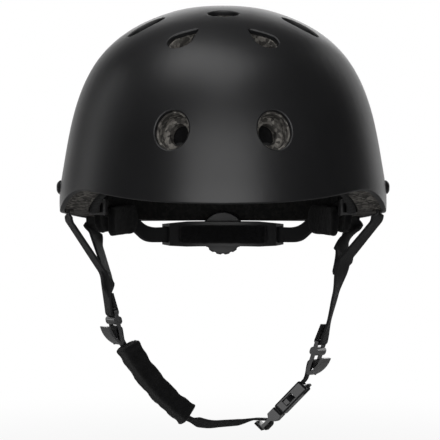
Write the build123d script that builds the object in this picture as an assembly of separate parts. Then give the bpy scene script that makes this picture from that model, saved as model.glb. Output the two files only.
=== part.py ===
from build123d import *
import math
import os

os.makedirs("parts", exist_ok=True)

# Matte skateboard helmet shown as it is worn, with its chin strap fastened.
# Millimetres, +Z up, brow toward -Y, the wearer's left toward +X.
# The origin is the middle of the head opening, level with the front brim.

# Shell
shell_half_width = 107.4
shell_front_reach = 134.0
shell_rear_reach = 132.0
shell_crown_height = 125.0
shell_wall = 3.0
shell_edge_round = 0.9
cut_overrun = 60.0
vent_overrun = 15.0
surface_slack = 0.6
surface_shares = (0, 0.25, 0.5, 0.75, 1)
search_steps = 40
steep_share = 0.8

# The shell's meridian from nape to crown, as shares of its half width and crown height
meridian_shares = [
    (0.955, -0.36), (1.0, 0.0), (0.977, 0.15), (0.898, 0.474),
    (0.763, 0.717), (0.551, 0.879), (0.348, 0.957), (0.158, 0.9925),
]
meridian_start_share = (0.12, 1.0)
meridian_pull_shares = (1.0, 0.5)

# Lower edge seen from the side: heights, and places as shares of the reach
temple_rise = 6.0
ear_drop = 12.0
nape_drop = 23.0
brim_arch_share = 0.74
temple_share = 0.51
ear_share = 0.16
nape_share = 0.55
edge_end_share = 1.1

# Foam liner
liner_gap = 0.3
liner_thickness = 15.0
liner_edge_recess = 0.6

# Vents: place in plan, size along and across, plan heading of the long axis in degrees
front_vent_place = (31.6, -118.5)
front_vent_size = (24.6, 22.2)
front_vent_heading = 120.0
drop_vent_place = (26.9, -83.1)
drop_vent_size = (22.2, 16.0)
drop_vent_heading = 149.5
drop_vent_tip_radius = 1.6
crown_vent_place = (0.0, -52.0)
crown_vent_size = (14.4, 19.4)
crown_vent_heading = 90.0
side_vent_place = (49.6, -37.6)
side_vent_size = (26.0, 15.0)
side_vent_heading = 171.0
liner_vent_ledge = 1.2
liner_vent_recess = 9.0
liner_vent_inner_share = 0.62

# Webbing, its rivets and the ends hidden between shell and liner
strap_width = 16.0
strap_thickness = 1.6
front_rivet_reach = -12.0
front_rivet_height = 6.0
rear_rivet_reach = 62.0
rear_rivet_height = -2.0
rivet_head_radius = 4.8
rivet_head_height = 2.4
rivet_head_skirt = 1.0
rivet_shoulder_angle = 45.0
rivet_stem_radius = 2.0
rivet_end_radius = 3.0
rivet_end_height = 0.6
rivet_fit = 0.1
washer_radius = 4.4
washer_thickness = 1.0
seat_gap = 0.05
strap_shell_gap = 1.6
strap_tab_top = 6.0
strap_tab_fall = 0.3
released_tab_lift = 1.8
channel_clearance = 0.8
release_gap = 0.4
strap_bend_drop = 5.0
strap_bend_radius = 7.0

# Comfort pads and their hook dots
dot_gap = 0.2
dot_thickness = 1.0
dot_radius = 8.0
pad_gap = 0.3
pad_thickness = 6.4
pad_corner = 8.0
pad_round = 2.0
front_pad_width = 104.0
front_pad_low = 6.0
front_pad_high = 52.0
crown_pad_arm = 30.0
crown_pad_length = 84.0
crown_pad_width = 124.0
rear_pad_width = 92.0
rear_pad_low = -8.0
rear_pad_high = 20.0
side_pad_front = -54.0
side_pad_rear = -1.0
side_pad_top = 17.0
side_pad_low_front = 5.0
side_pad_low_rear = -14.0
side_pad_corner = 6.0
ear_pad_front = 15.0
ear_pad_rear = 76.0
ear_pad_top = 12.0
ear_pad_low = -26.0
ear_pad_corner = 10.0
ear_pad_thickness = 4.0
ear_pad_round = 1.6

# Rear cradle: a ring about an upright axis, turned by a dial at the nape
cradle_radius = 79.0
cradle_axis_reach = 8.0
band_thickness = 1.8
band_height = 10.4
band_side_height = -8.0
band_rear_height = -30.0
band_end_angle = 19.2
band_level_run = 65.0
band_run_shares = (0.0, 0.3, 0.55, 0.8, 1.0)
band_fall_share = 1.7
band_slot_angles = (78.0, 66.0, 54.0)
band_slot_length = 8.0
band_slot_height = 3.6
dial_radius = 15.2
dial_thickness = 7.0
dial_lobes = 16
dial_lobe_radius = 1.6
dial_face_recess = 1.2
dial_dish_share = 0.62
pinion_teeth = 8
tooth_module = 0.8
pinion_length = 4.4
pinion_core_share = 0.9
tooth_root_share = 1.15
tooth_tip_share = 0.9
tooth_top_share = 0.3
tooth_base_share = 0.62
tooth_backlash_share = 0.82
rack_depth = 1.6
rack_tip_angle = 10.2
rack_overlap_angle = 1.0
housing_angle = 30.0
housing_height = 17.0
housing_end_height = 13.0
housing_depth = 11.0
housing_wall = 1.8
guide_angle = 3.0
guide_width = 1.6
cover_wall = 1.8
shaft_radius = 2.4
shaft_square = 3.0
shaft_fit = 0.08
square_fit = 0.05
boss_radius = 4.6
running_gap = 0.4
screw_radius = 0.9
screw_head_radius = 2.3
screw_head_height = 1.2
screw_length = 6.6
eye_radius = 2.7
eye_height = 6.0
pin_radius = 1.5
pin_fit = 0.08
pin_head_radius = 2.2
pin_head_height = 0.8
ear_thickness = 1.6
anchor_width = 8.0
anchor_wall = 1.1
plug_radius = 2.4
plug_depth = 6.0
plug_fit = 0.1
arm_pad_thickness = 5.0
arm_pad_front_angle = 84.0
arm_pad_rear_angle = 52.0
arm_pad_low = -28.0
arm_pad_height = 20.0
arm_pad_round = 1.6
arm_pad_corner = 7.0
nape_pad_angle = 25.0
nape_pad_height = 13.0
nape_pad_thickness = 5.0

# Hanging straps seen from the front: (x, z) places on the upright strap plane
strap_plane = 6.0
strap_turn = 18.0
right_merge = (-78.6, -52.5)
left_merge = (80.0, -43.5)
strap_lap = 10.0
sewn_gap = 0.2

# Strap adjusters
right_adjuster_place = (-72.2, -84.5)
right_adjuster_lean = 12.0
left_adjuster_place = (62.6, -105.0)
left_adjuster_lean = -17.0
adjuster_half_width = 11.0
adjuster_thickness = 2.4
adjuster_top = 10.0
adjuster_bottom = 15.0
upper_slot = 3.2
lower_slot = 5.0
middle_bar_thickness = 5.6
lip_thickness = 1.6
lip_rise = 6.6
lip_shoulder = 4.0
lip_shoulder_drop = 3.4
slot_side_clearance = 0.6
loop_clearance = 0.25
loop_share = 0.94
loop_end = 11.0
lip_tail = 2.4
adjuster_corner = 2.0
adjuster_body_round = 2.2
merge_bend_radius = 12.0

# Chin strap and its padded sleeve
sleeve_run_top = (-66.0, -99.5)
sleeve_run_bottom = (-21.5, -150.0)
sleeve_run_bow = 7.0
sleeve_lead = 3.0
chin_bend_lead = 6.5
sleeve_bend_radius = 8.0
chin_bottom_right = (-9.0, -152.5)
chin_bottom_left = (12.0, -151.0)
chin_bend_radius = 26.0
sleeve_start = 3.5
sleeve_end = 2.0
sleeve_width = 26.0
sleeve_thickness = 8.4
sleeve_bore_clearance = 0.5
sleeve_end_share = 0.8
sleeve_swell_shares = (0.88, 0.98, 1.0, 0.98)
sleeve_corner = 3.8
sleeve_notches = 3

# Side release buckle
buckle_mouth = (38.0, -143.0)
buckle_half_width = 11.5
buckle_thickness = 8.0
socket_length = 24.0
socket_wall = 1.6
socket_corner = 2.2
socket_bar = 2.2
socket_slot = 3.2
window_start = 6.0
window_length = 8.4
mouth_gap = 0.3
plug_length = 17.5
plug_base = 6.5
plug_slot = 5.1
plug_slot_lead = 3.4
plug_hump = 3.6
plug_rim = 2.4
plug_tail_gap = 2.0
chin_entry_back = 4.35
chin_entry_drop = 8.0
chin_entry_bend = 10.0
arm_mouth_gap = 0.5
socket_edge_round = 1.2
plug_flange_drop = 5.4
tongue_half_width = 2.0
tongue_reach = 13.0
tongue_half_thickness = 1.3
arm_reach = 13.6
arm_inner = 5.6
arm_width = 2.8
arm_half_thickness = 1.6
arm_barb = 1.9
arm_tip_step = 0.9
barb_start = 6.4
barb_end = 12.4
arm_root_radius = 1.7
arm_root_gap = 0.25

# Curved runs are faceted once per this many degrees
arc_step = 15.0
facet_length = 9.0

side_names = {-1: "right", 1: "left"}
up = Vector(0, 0, 1)
forward = Vector(0, -1, 0)


def save(name, shape):
    """Write one node to its own STEP file."""
    export_step(shape, os.path.join("parts", name + ".step"))


def group(solids):
    """Separate solids that share one node."""
    return Compound(children=list(solids))


def box_between(low, high):
    """A box from one corner to the opposite one."""
    size = [b - a for a, b in zip(low, high)]
    return Pos(*low) * Box(*size, align=(Align.MIN, Align.MIN, Align.MIN))


# The shell's egg form: a unit meridian, turned and scaled in three directions

crown_point = (0, 0, 1)
base_point = (0, 0, meridian_shares[0][1])
meridian_points = [(radius, 0, height) for radius, height in meridian_shares] + [crown_point]
meridian = Spline(
    *meridian_points,
    tangents=[(meridian_start_share[0], 0, meridian_start_share[1]), (-1, 0, 0)],
    tangent_scalars=meridian_pull_shares,
)
meridian_face = make_face([meridian, Line(crown_point, base_point), Line(base_point, meridian_points[0])])
unit_half = revolve(meridian_face, Axis.Z, 180)


def dome(inset):
    """The solid inside the shell's outer surface, moved in by inset."""
    width = shell_half_width - inset
    height = shell_crown_height - inset
    rear = scale(unit_half, by=(width, shell_rear_reach - inset, height))
    front = scale(unit_half.rotate(Axis.Z, 180), by=(width, shell_front_reach - inset, height))
    return rear + front


def meridian_at(reached):
    """Last point along the meridian where the test still says reached is false."""
    low = 0.0
    high = 1.0
    for _ in range(search_steps):
        middle = (low + high) / 2
        if reached(meridian @ middle):
            high = middle
        else:
            low = middle
    return meridian @ low, meridian % low


def girth_share(height, inset=0):
    """Share of the full girth that the dome has at a height."""
    share = height / (shell_crown_height - inset)
    point, _ = meridian_at(lambda p: p.Z >= share)
    return point.X


def half_width_at(reach, height, inset=0):
    """Half width of the dome at a place along Y and a height."""
    length = (shell_front_reach if reach < 0 else shell_rear_reach) - inset
    girth = girth_share(height, inset)
    return (shell_half_width - inset) * math.sqrt(girth ** 2 - (reach / length) ** 2)


def dome_frame(place, heading):
    """Plane on the outer surface above a plan place, its X axis along a plan heading."""
    x, y = place
    length = shell_front_reach if y < 0 else shell_rear_reach
    share_x = x / shell_half_width
    share_y = y / length
    share = math.hypot(share_x, share_y)
    point, tangent = meridian_at(lambda p: p.Z >= 0 and p.X <= share)
    radial = tangent.Z / share
    normal = Vector(
        radial * share_x / shell_half_width,
        radial * share_y / length,
        -tangent.X / shell_crown_height,
    ).normalized()
    along_x = math.cos(math.radians(heading))
    along_y = math.sin(math.radians(heading))
    climb = -(normal.X * along_x + normal.Y * along_y) / normal.Z
    origin = Vector(x, y, point.Z * shell_crown_height)
    return Plane(origin, x_dir=Vector(along_x, along_y, climb), z_dir=normal)


# Lower edge of shell and liner

def edge_points():
    """Points of the lower edge seen from the side, as (y, z)."""
    front = shell_front_reach
    rear = shell_rear_reach
    return [
        (-front * edge_end_share, 0),
        (-front * brim_arch_share, temple_rise * brim_arch_share),
        (-front * temple_share, temple_rise),
        (-front * ear_share, -ear_drop * (1 - 2 * ear_share)),
        (rear * ear_share / 2, -ear_drop),
        (rear * nape_share, -nape_drop * (1 - ear_share)),
        (rear * edge_end_share, -nape_drop),
    ]


lower_edge = Spline(*[(0, y, z) for y, z in edge_points()])


def edge_height(reach):
    """Height of the lower edge at a place along Y."""
    low = 0.0
    high = 1.0
    for _ in range(search_steps):
        middle = (low + high) / 2
        if (lower_edge @ middle).Y < reach:
            low = middle
        else:
            high = middle
    return (lower_edge @ low).Z


def above_edge(lift):
    """Everything above the lower edge, raised by lift."""
    start = lower_edge @ 0
    finish = lower_edge @ 1
    top = shell_crown_height + cut_overrun
    start_top = Vector(0, start.Y, top)
    finish_top = Vector(0, finish.Y, top)
    sides = [Line(start, start_top), Line(start_top, finish_top), Line(finish_top, finish)]
    face = make_face([lower_edge] + sides)
    solid = extrude(face, amount=shell_half_width + cut_overrun, dir=(1, 0, 0), both=True)
    return Pos(0, 0, lift) * solid


# Vents: seven in front, and the five that repeat behind

def mirrored_vent(place, size, heading, pointed):
    """The same vent on the other side of the middle."""
    return ((-place[0], place[1]), size, 180 - heading, pointed)


def rear_vent(place, size, heading, pointed):
    """The same vent on the rear half."""
    reach = -place[1] * shell_rear_reach / shell_front_reach
    return ((place[0], reach), size, -heading, pointed)


front_vent = (front_vent_place, front_vent_size, front_vent_heading, False)
drop_vent = (drop_vent_place, drop_vent_size, drop_vent_heading, True)
side_vent = (side_vent_place, side_vent_size, side_vent_heading, False)
crown_vent = (crown_vent_place, crown_vent_size, crown_vent_heading, False)
paired_vents = [front_vent, drop_vent]
end_vents = [crown_vent] + paired_vents + [mirrored_vent(*vent) for vent in paired_vents]
vents = end_vents + [rear_vent(*vent) for vent in end_vents] + [side_vent, mirrored_vent(*side_vent)]


def vent_outline(size, pointed, ledge, share=1):
    """Oval vent, or a drop whose tip points along the heading."""
    along = (size[0] / 2 - ledge) * share
    across = (size[1] / 2 - ledge) * share
    if not pointed:
        return Ellipse(along, across)
    tip_radius = drop_vent_tip_radius * share
    tip = Pos(2 * along - across - tip_radius, 0) * Circle(tip_radius)
    return make_hull(Circle(across).edges() + tip.edges())


def vent_cut(vent, ledge, depth, share=1):
    """Prism that cuts one vent down to a depth under the outer surface."""
    place, size, heading, pointed = vent
    outline = dome_frame(place, heading) * vent_outline(size, pointed, ledge, share)
    return extrude(outline, amount=-depth) + extrude(outline, amount=vent_overrun)


# Strap mounts: upright planes on the shell's side, X down and Z outward

def strap_mount(side, reach, height):
    """Plane on the shell's outer surface where a strap is riveted."""
    length = shell_front_reach if reach < 0 else shell_rear_reach
    x = half_width_at(reach, height)
    outward = Vector(side * x / shell_half_width ** 2, reach / length ** 2, 0)
    return Plane((side * x, reach, height), x_dir=-up, z_dir=outward)


def tab_depth():
    """Distance from the shell's outer surface to the middle of a strap tab."""
    return shell_wall + strap_shell_gap + strap_thickness / 2


def tab_length(mount):
    """How far a tab runs down from its rivet to just under the shell's edge."""
    return mount.origin.Z - edge_height(mount.origin.Y) + strap_tab_fall


def tab_foot(mount):
    """Middle of the tab's lower end."""
    return mount.from_local_coords(Vector(tab_length(mount), 0, -tab_depth()))


def strap_tab(mount, lift=0):
    """Flat end of a strap between shell and liner, with its rivet hole, its foot raised by lift."""
    low = (-strap_tab_top, -strap_width / 2, -tab_depth() - strap_thickness / 2)
    high = (tab_length(mount) - lift, strap_width / 2, -tab_depth() + strap_thickness / 2)
    hole = Cylinder(rivet_stem_radius + rivet_fit, cut_overrun)
    return mount * (box_between(low, high) - hole)


def tab_channel(mount):
    """Room in the liner for a tab, its washer and the rivet's end."""
    depth = tab_depth() + strap_thickness / 2 + washer_thickness + rivet_end_height + channel_clearance
    half_width = strap_width / 2 + channel_clearance
    low = (-strap_tab_top - channel_clearance, -half_width, -depth)
    high = (cut_overrun, half_width, cut_overrun)
    return mount * box_between(low, high)


def rivet(mount):
    """Low domed rivet, its head seated on the shell, through shell, tab and washer."""
    grip = tab_depth() + strap_thickness / 2 + washer_thickness + 2 * seat_gap
    crest = (0, 0, rivet_head_height)
    lean = math.radians(rivet_shoulder_angle)
    shoulder = (rivet_head_radius * math.cos(lean), 0, rivet_head_height * math.sin(lean))
    rim = (rivet_head_radius, 0, 0)
    skirt = Polyline(rim, (rivet_head_radius, 0, -rivet_head_skirt), (0, 0, -rivet_head_skirt), crest)
    head = mount * revolve(make_face([ThreePointArc(crest, shoulder, rim), skirt]), Axis.Z, 360)
    clinch = Pos(0, 0, -grip - rivet_end_height / 2) * Cylinder(rivet_end_radius, rivet_end_height)
    stem = Pos(0, 0, -grip) * Cylinder(
        rivet_stem_radius, grip + rivet_head_height / 2, align=(Align.CENTER, Align.CENTER, Align.MIN)
    )
    return (head - dome(-seat_gap)) + mount * (stem + clinch)


def washer(mount):
    """Ring under the clinched end of a rivet."""
    height = -tab_depth() - strap_thickness / 2 - seat_gap - washer_thickness / 2
    ring = Cylinder(washer_radius, washer_thickness) - Cylinder(rivet_stem_radius + rivet_fit, cut_overrun)
    return mount * Pos(0, 0, height) * ring


front_mounts = {side: strap_mount(side, front_rivet_reach, front_rivet_height) for side in (-1, 1)}
rear_mounts = {side: strap_mount(side, rear_rivet_reach, rear_rivet_height) for side in (-1, 1)}
mounts = list(front_mounts.values()) + list(rear_mounts.values())


# Cradle geometry that the liner's sockets share

liner_inner = shell_wall + liner_gap + liner_thickness


def pivot_plane(side):
    """Upright frame at a cradle arm's pivot, X toward the liner."""
    origin = (side * cradle_radius, cradle_axis_reach, band_side_height)
    return Plane(origin, x_dir=(side, 0, 0), z_dir=(0, 0, 1))


def anchor_back():
    """Distance from a pivot to the liner's inner wall, less a gap."""
    wall = half_width_at(cradle_axis_reach + anchor_width / 2, band_side_height, liner_inner)
    return wall - cradle_radius - pad_gap


def on_dome(edge, inset):
    """Whether an edge lies on the dome's surface at an inset, and isn't its seam."""
    width = shell_half_width - inset
    height = shell_crown_height - inset
    points = [edge @ share for share in surface_shares]
    if all(abs(point.Y) < surface_slack for point in points):
        return False
    for point in points:
        length = (shell_front_reach if point.Y < 0 else shell_rear_reach) - inset
        share = math.hypot(point.X / width, point.Y / length)
        if point.Z < height * steep_share:
            miss = (share - girth_share(point.Z, inset)) * width
        else:
            surface, _ = meridian_at(lambda p: p.Z >= 0 and p.X <= share)
            miss = surface.Z * height - point.Z
        if abs(miss) > surface_slack:
            return False
    return True


def build_shell():
    """Thin outer shell with rounded vent rims and rivet holes."""
    shell = (dome(0) - dome(shell_wall)) & above_edge(0)
    shell = shell - [vent_cut(vent, 0, liner_inner) for vent in vents]
    shell = fillet([edge for edge in shell.edges() if on_dome(edge, 0)], shell_edge_round)
    return shell - [mount * Cylinder(rivet_stem_radius + rivet_fit, cut_overrun) for mount in mounts]


def build_liner():
    """Foam liner with stepped vents, strap channels and cradle sockets."""
    outer = shell_wall + liner_gap
    liner = (dome(outer) - dome(liner_inner)) & above_edge(liner_edge_recess)
    recess = outer + liner_vent_recess
    through = liner_inner + vent_overrun
    cuts = [vent_cut(vent, liner_vent_ledge, recess) for vent in vents]
    cuts += [vent_cut(vent, liner_vent_ledge, through, liner_vent_inner_share) for vent in vents]
    cuts += [tab_channel(mount) for mount in mounts]
    socket = Rot(0, 90, 0) * Cylinder(
        plug_radius + plug_fit,
        plug_depth + channel_clearance,
        align=(Align.CENTER, Align.CENTER, Align.MIN),
    )
    cuts += [pivot_plane(side) * Pos(anchor_back(), 0, 0) * socket for side in (-1, 1)]
    return liner - cuts


# Comfort pads: slices of two nested domes, cut to an outline

dot_outer = liner_inner + dot_gap
pad_outer = dot_outer + dot_thickness + dot_gap
pad_inner = pad_outer + pad_thickness


def cut_through(outline_plane, outline):
    """Prism from the frame's middle out through one wall."""
    return extrude(outline_plane * outline, amount=shell_front_reach + cut_overrun)


front_plane = Plane((0, 0, 0), x_dir=(1, 0, 0), z_dir=(0, -1, 0))
rear_plane = Plane((0, 0, 0), x_dir=(-1, 0, 0), z_dir=(0, 1, 0))
top_plane = Plane.XY


def side_plane(side):
    """Frame for outlines drawn on a side wall, with Y up."""
    return Plane((0, 0, 0), x_dir=(0, side, 0), z_dir=(side, 0, 0))


def wall_outline(width, low, high):
    """Rounded strip between two heights."""
    return Pos(0, (low + high) / 2) * RectangleRounded(width, high - low, pad_corner)


def crown_outline():
    """Cross that runs between the crown's vents."""
    along = RectangleRounded(crown_pad_arm, crown_pad_length, pad_corner)
    across = RectangleRounded(crown_pad_width, crown_pad_arm, pad_corner)
    return along + across


def side_outline(side):
    """Side pad: level on top, its lower edge following the shell down to the ear."""
    corners = [
        (side_pad_front, side_pad_top),
        (side_pad_rear, side_pad_top),
        (side_pad_rear, side_pad_low_rear),
        (side_pad_front, side_pad_low_front),
    ]
    outline = make_face(Polyline(*[(side * reach, height) for reach, height in corners], close=True))
    return fillet(outline.vertices(), side_pad_corner)


def ear_outline(side):
    """Ear pad: hangs below the liner beside the cradle's arm."""
    middle = (side * (ear_pad_front + ear_pad_rear) / 2, (ear_pad_top + ear_pad_low) / 2)
    length = ear_pad_rear - ear_pad_front
    return Pos(*middle) * RectangleRounded(length, ear_pad_top - ear_pad_low, ear_pad_corner)


def pad_cutters():
    """Every wall pad's name and the prism that cuts it out."""
    cutters = {
        "front_pad": cut_through(front_plane, wall_outline(front_pad_width, front_pad_low, front_pad_high)),
        "rear_pad": cut_through(rear_plane, wall_outline(rear_pad_width, rear_pad_low, rear_pad_high)),
        "crown_pad": cut_through(top_plane, crown_outline()),
    }
    for side, name in side_names.items():
        cutters["side_pad_" + name] = cut_through(side_plane(side), side_outline(side))
    return cutters


rounded_pads = ("rear_pad", "side_pad_right", "side_pad_left")


def build_pads():
    """Comfort pads, as slices between two domes, rounded toward the head."""
    layer = dome(pad_outer) - dome(pad_inner)
    pads = {name: layer & cutter for name, cutter in pad_cutters().items()}
    for name in pads:
        if name in rounded_pads:
            rims = [edge for edge in pads[name].edges() if on_dome(edge, pad_inner)]
            pads[name] = fillet(rims, pad_round)
    ear_inner = pad_outer + ear_pad_thickness
    ear_layer = dome(pad_outer) - dome(ear_inner)
    for side, name in side_names.items():
        pad = ear_layer & cut_through(side_plane(side), ear_outline(side))
        rims = [edge for edge in pad.edges() if on_dome(edge, ear_inner)]
        pads["ear_pad_" + name] = fillet(rims, ear_pad_round)
    return pads


def dot_places():
    """Frames on the outer surface above each hook dot."""
    front_height = (front_pad_low + front_pad_high) / 2
    rear_height = (rear_pad_low + rear_pad_high) / 2
    side_height = (side_pad_top + side_pad_low_front) / 2
    side_reach = (side_pad_front + side_pad_rear) / 2
    right = (1, 0, 0)
    frames = []
    for side in side_names:
        frames.append(Plane((side * front_pad_width / 4, 0, front_height), x_dir=right, z_dir=(0, -1, 0)))
        frames.append(Plane((side * rear_pad_width / 4, 0, rear_height), x_dir=right, z_dir=(0, 1, 0)))
        frames.append(Plane((0, side_reach, side_height), x_dir=(0, 1, 0), z_dir=(side, 0, 0)))
        frames.append(Plane((side * crown_pad_width / 4, 0, 0), x_dir=right, z_dir=(0, 0, 1)))
        frames.append(Plane((0, side * crown_pad_length / 4, 0), x_dir=right, z_dir=(0, 0, 1)))
    return frames


def build_dots():
    """Hook dots that hold the pads to the liner."""
    layer = dome(dot_outer) - dome(dot_outer + dot_thickness)
    return group([(layer & cut_through(frame, Circle(dot_radius))).solid() for frame in dot_places()])


# Rear cradle: parts of one ring, drawn in plan about the cradle's axis

def ring_sector(inner, outer, start, finish):
    """Plan sector of a ring, between angles counted from straight back toward the wearer's left."""
    start_ray = 90 - start
    sweep_angle = start - finish
    outer_arc = CenterArc((0, 0), outer, start_ray, sweep_angle)
    inner_arc = CenterArc((0, 0), inner, start_ray, sweep_angle)
    ends = [Line(outer_arc @ 0, inner_arc @ 0), Line(outer_arc @ 1, inner_arc @ 1)]
    return Pos(0, cradle_axis_reach) * make_face([outer_arc, inner_arc] + ends)


def ring_block(inner, outer, start, finish, low, high):
    """Ring sector raised between two heights."""
    return Pos(0, 0, low) * extrude(ring_sector(inner, outer, start, finish), amount=high - low)


def ring_frame(angle, radius, height):
    """Plane on the ring, X along it to the wearer's left, Y up and Z toward the head."""
    turn = math.radians(angle)
    origin = (radius * math.sin(turn), cradle_axis_reach + radius * math.cos(turn), height)
    inward = (-math.sin(turn), -math.cos(turn), 0)
    return Plane(origin, x_dir=(math.cos(turn), -math.sin(turn), 0), z_dir=inward)


band_inner = cradle_radius - band_thickness / 2
band_outer = cradle_radius + band_thickness / 2
pinion_pitch_radius = pinion_teeth * tooth_module / 2
rack_pitch_angle = math.degrees(math.pi * tooth_module / cradle_radius)


def band_height_at(reach):
    """Height of the band's middle at a place along Y."""
    share = max(0, min(1, (reach - cradle_axis_reach) / band_level_run))
    return band_side_height + (band_rear_height - band_side_height) * share ** band_fall_share


def sweep_profile():
    """Side view of the band: level behind the nape, rising forward to the pivots."""
    places = [cradle_axis_reach + band_level_run * share for share in band_run_shares]
    level = (0, 1, 0)
    middle = Spline(*[(0, reach, band_height_at(reach)) for reach in places], tangents=[level, level])
    lines = []
    for offset in (-band_height / 2, band_height / 2):
        run = Pos(0, 0, offset) * middle
        front = (run @ 0) - Vector(0, eye_radius, 0)
        rear = (run @ 1) + Vector(0, cradle_radius, 0)
        lines.append([Line(front, run @ 0), run, Line(run @ 1, rear)])
    lower, upper = lines
    ends = [Line(lower[0] @ 0, upper[0] @ 0), Line(lower[2] @ 1, upper[2] @ 1)]
    outline = make_face(lower + upper + ends)
    return extrude(outline, amount=cradle_radius + cut_overrun, dir=(1, 0, 0), both=True)


def rack_tooth(side):
    """One tooth of a curved rack, standing toward the pinion."""
    base = math.pi * tooth_module * tooth_base_share * tooth_backlash_share / 2
    top = math.pi * tooth_module * tooth_top_share * tooth_backlash_share / 2
    root = tooth_module * tooth_root_share
    tip = -tooth_module * tooth_tip_share
    corners = [(-base, root), (base, root), (top, tip), (-top, tip)]
    outline = make_face(Polyline(*[(x, -side * z) for x, z in corners], close=True))
    tooth = Pos(0, 0, -band_thickness / 2) * extrude(outline, amount=band_thickness)
    return ring_frame(0, cradle_radius, band_rear_height - side * pinion_pitch_radius) * tooth


def build_arm(side):
    """Cradle arm: pivot eye, band and the rack that runs over or under the pinion."""
    band = ring_block(band_inner, band_outer, side * 90, side * band_end_angle, -cut_overrun, cut_overrun)
    band = band & sweep_profile()
    rack_root = band_rear_height - side * (pinion_pitch_radius + tooth_module * tooth_root_share)
    low, high = sorted((rack_root, rack_root - side * rack_depth))
    rack_start = side * (band_end_angle + rack_overlap_angle)
    rack = ring_block(band_inner, band_outer, rack_start, -side * rack_tip_angle, low, high)
    count = 2 * int(rack_tip_angle / rack_pitch_angle - 1) + 1
    teeth = []
    for index in range(count):
        turn = (index - (count - 1) / 2) * rack_pitch_angle
        teeth.append(rack_tooth(side).rotate(Axis((0, cradle_axis_reach, 0), (0, 0, 1)), turn))
    slots = []
    for angle in band_slot_angles:
        height = band_height_at(cradle_axis_reach + cradle_radius * math.cos(math.radians(angle)))
        outline = SlotOverall(band_slot_length, band_slot_height)
        slot = extrude(outline, amount=band_thickness * 2, both=True)
        slots.append(ring_frame(side * angle, cradle_radius, height) * slot)
    pivot = Pos(side * cradle_radius, cradle_axis_reach, band_side_height)
    relief_radius = eye_radius + ear_thickness * 2
    relief = Cylinder(relief_radius, band_height * 2) - Cylinder(relief_radius, eye_height)
    eye = pivot * Cylinder(eye_radius, eye_height)
    bore = pivot * Cylinder(pin_radius + pin_fit, band_height * 2)
    return (band - slots - pivot * relief) + rack + teeth + eye - bore


def build_anchor(side):
    """Clevis pressed into the liner, with two ears round the arm's eye."""
    back = anchor_back()
    ear_low = eye_height / 2 + running_gap / 2
    ear_high = ear_low + ear_thickness
    half_width = anchor_width / 2
    base = box_between((back - anchor_wall, -half_width, -ear_high), (back, half_width, ear_high))
    root = Pos(back - anchor_wall / 2, 0) * Rectangle(anchor_wall, anchor_width)
    ear_face = make_hull(Circle(eye_radius).edges() + root.edges())
    ears = []
    for low in (-ear_high, ear_low):
        ears.append(Pos(0, 0, low) * extrude(ear_face, amount=ear_thickness))
    plug = Pos(back, 0, 0) * Rot(0, 90, 0) * Cylinder(
        plug_radius, plug_depth, align=(Align.CENTER, Align.CENTER, Align.MIN)
    )
    holes = Cylinder(pin_radius + pin_fit, ear_high * 3)
    return pivot_plane(side) * (base + ears + plug - holes)


def build_pins():
    """Upright pivot pins with flat heads."""
    reach = eye_height / 2 + running_gap / 2 + ear_thickness
    pins = []
    for side in side_names:
        pin = Cylinder(pin_radius, 2 * (reach + seat_gap))
        head_lift = reach + seat_gap + pin_head_height / 2
        head = Pos(0, 0, head_lift) * Cylinder(pin_head_radius, pin_head_height)
        pins.append(pivot_plane(side) * (pin + head))
    return group(pins)


def housing_block(inset, start_depth, end_depth):
    """Bowed block of the dial housing, lower toward its ends."""
    inner = cradle_radius - housing_depth / 2 + start_depth
    outer = cradle_radius - housing_depth / 2 + end_depth
    angle = housing_angle - math.degrees(inset / cradle_radius)
    low, high = band_rear_height - cut_overrun, band_rear_height + cut_overrun
    block = ring_block(inner, outer, -angle, angle, low, high)
    half = housing_height / 2 - inset
    end_half = housing_end_height / 2 - inset
    width = cradle_radius * math.sin(math.radians(housing_angle)) + housing_depth
    crest = width / 2
    outline = Polyline(
        (-width, -end_half), (-crest, -half), (crest, -half), (width, -end_half),
        (width, end_half), (crest, half), (-crest, half), (-width, end_half), close=True,
    )
    front = Plane((0, 0, band_rear_height), x_dir=(1, 0, 0), z_dir=(0, 1, 0))
    return block & extrude(front * make_face(outline), amount=cradle_radius * 2)


def dial_frame(depth):
    """Plane square to the dial's axis at a distance behind the cradle's ring, Z rearward."""
    origin = (0, cradle_axis_reach + cradle_radius + depth, band_rear_height)
    return Plane(origin, x_dir=(1, 0, 0), z_dir=(0, 1, 0))


def build_housing():
    """Rear shell of the dial housing, open at both ends for the arms."""
    body = housing_block(0, cover_wall + seat_gap, housing_depth)
    room = housing_block(housing_wall, 0, housing_depth - housing_wall)
    ends = ring_block(
        cradle_radius - housing_depth / 2, cradle_radius + housing_depth / 2 - housing_wall,
        -housing_angle * 2, housing_angle * 2,
        band_rear_height - housing_end_height / 2 + housing_wall / 2,
        band_rear_height + housing_end_height / 2 - housing_wall / 2,
    )
    bore = dial_frame(0) * Cylinder(shaft_radius + shaft_fit, housing_depth * 3)
    boss = dial_frame((housing_depth - housing_wall) / 2) * Cylinder(
        boss_radius, housing_wall / 2 + running_gap, align=(Align.CENTER, Align.CENTER, Align.MIN)
    )
    outer = cradle_radius + housing_depth / 2
    ribs = guide_ribs(band_outer + running_gap, outer - housing_wall / 2)
    return body - room - ends + ribs + boss - bore


def guide_ribs(low, high):
    """Upright ribs near the housing's ends that guide the arms, between two radii."""
    half = housing_end_height / 2 - housing_wall
    ribs = []
    for side in side_names:
        start = side * (housing_angle - guide_angle)
        finish = start + side * math.degrees(guide_width / cradle_radius)
        ribs.append(ring_block(low, high, start, finish, band_rear_height - half, band_rear_height + half))
    return ribs


def build_cover():
    """Front cover of the dial housing, toward the head."""
    inner = cradle_radius - housing_depth / 2
    return housing_block(0, 0, cover_wall) + guide_ribs(inner + cover_wall / 2, band_inner - running_gap)


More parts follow.
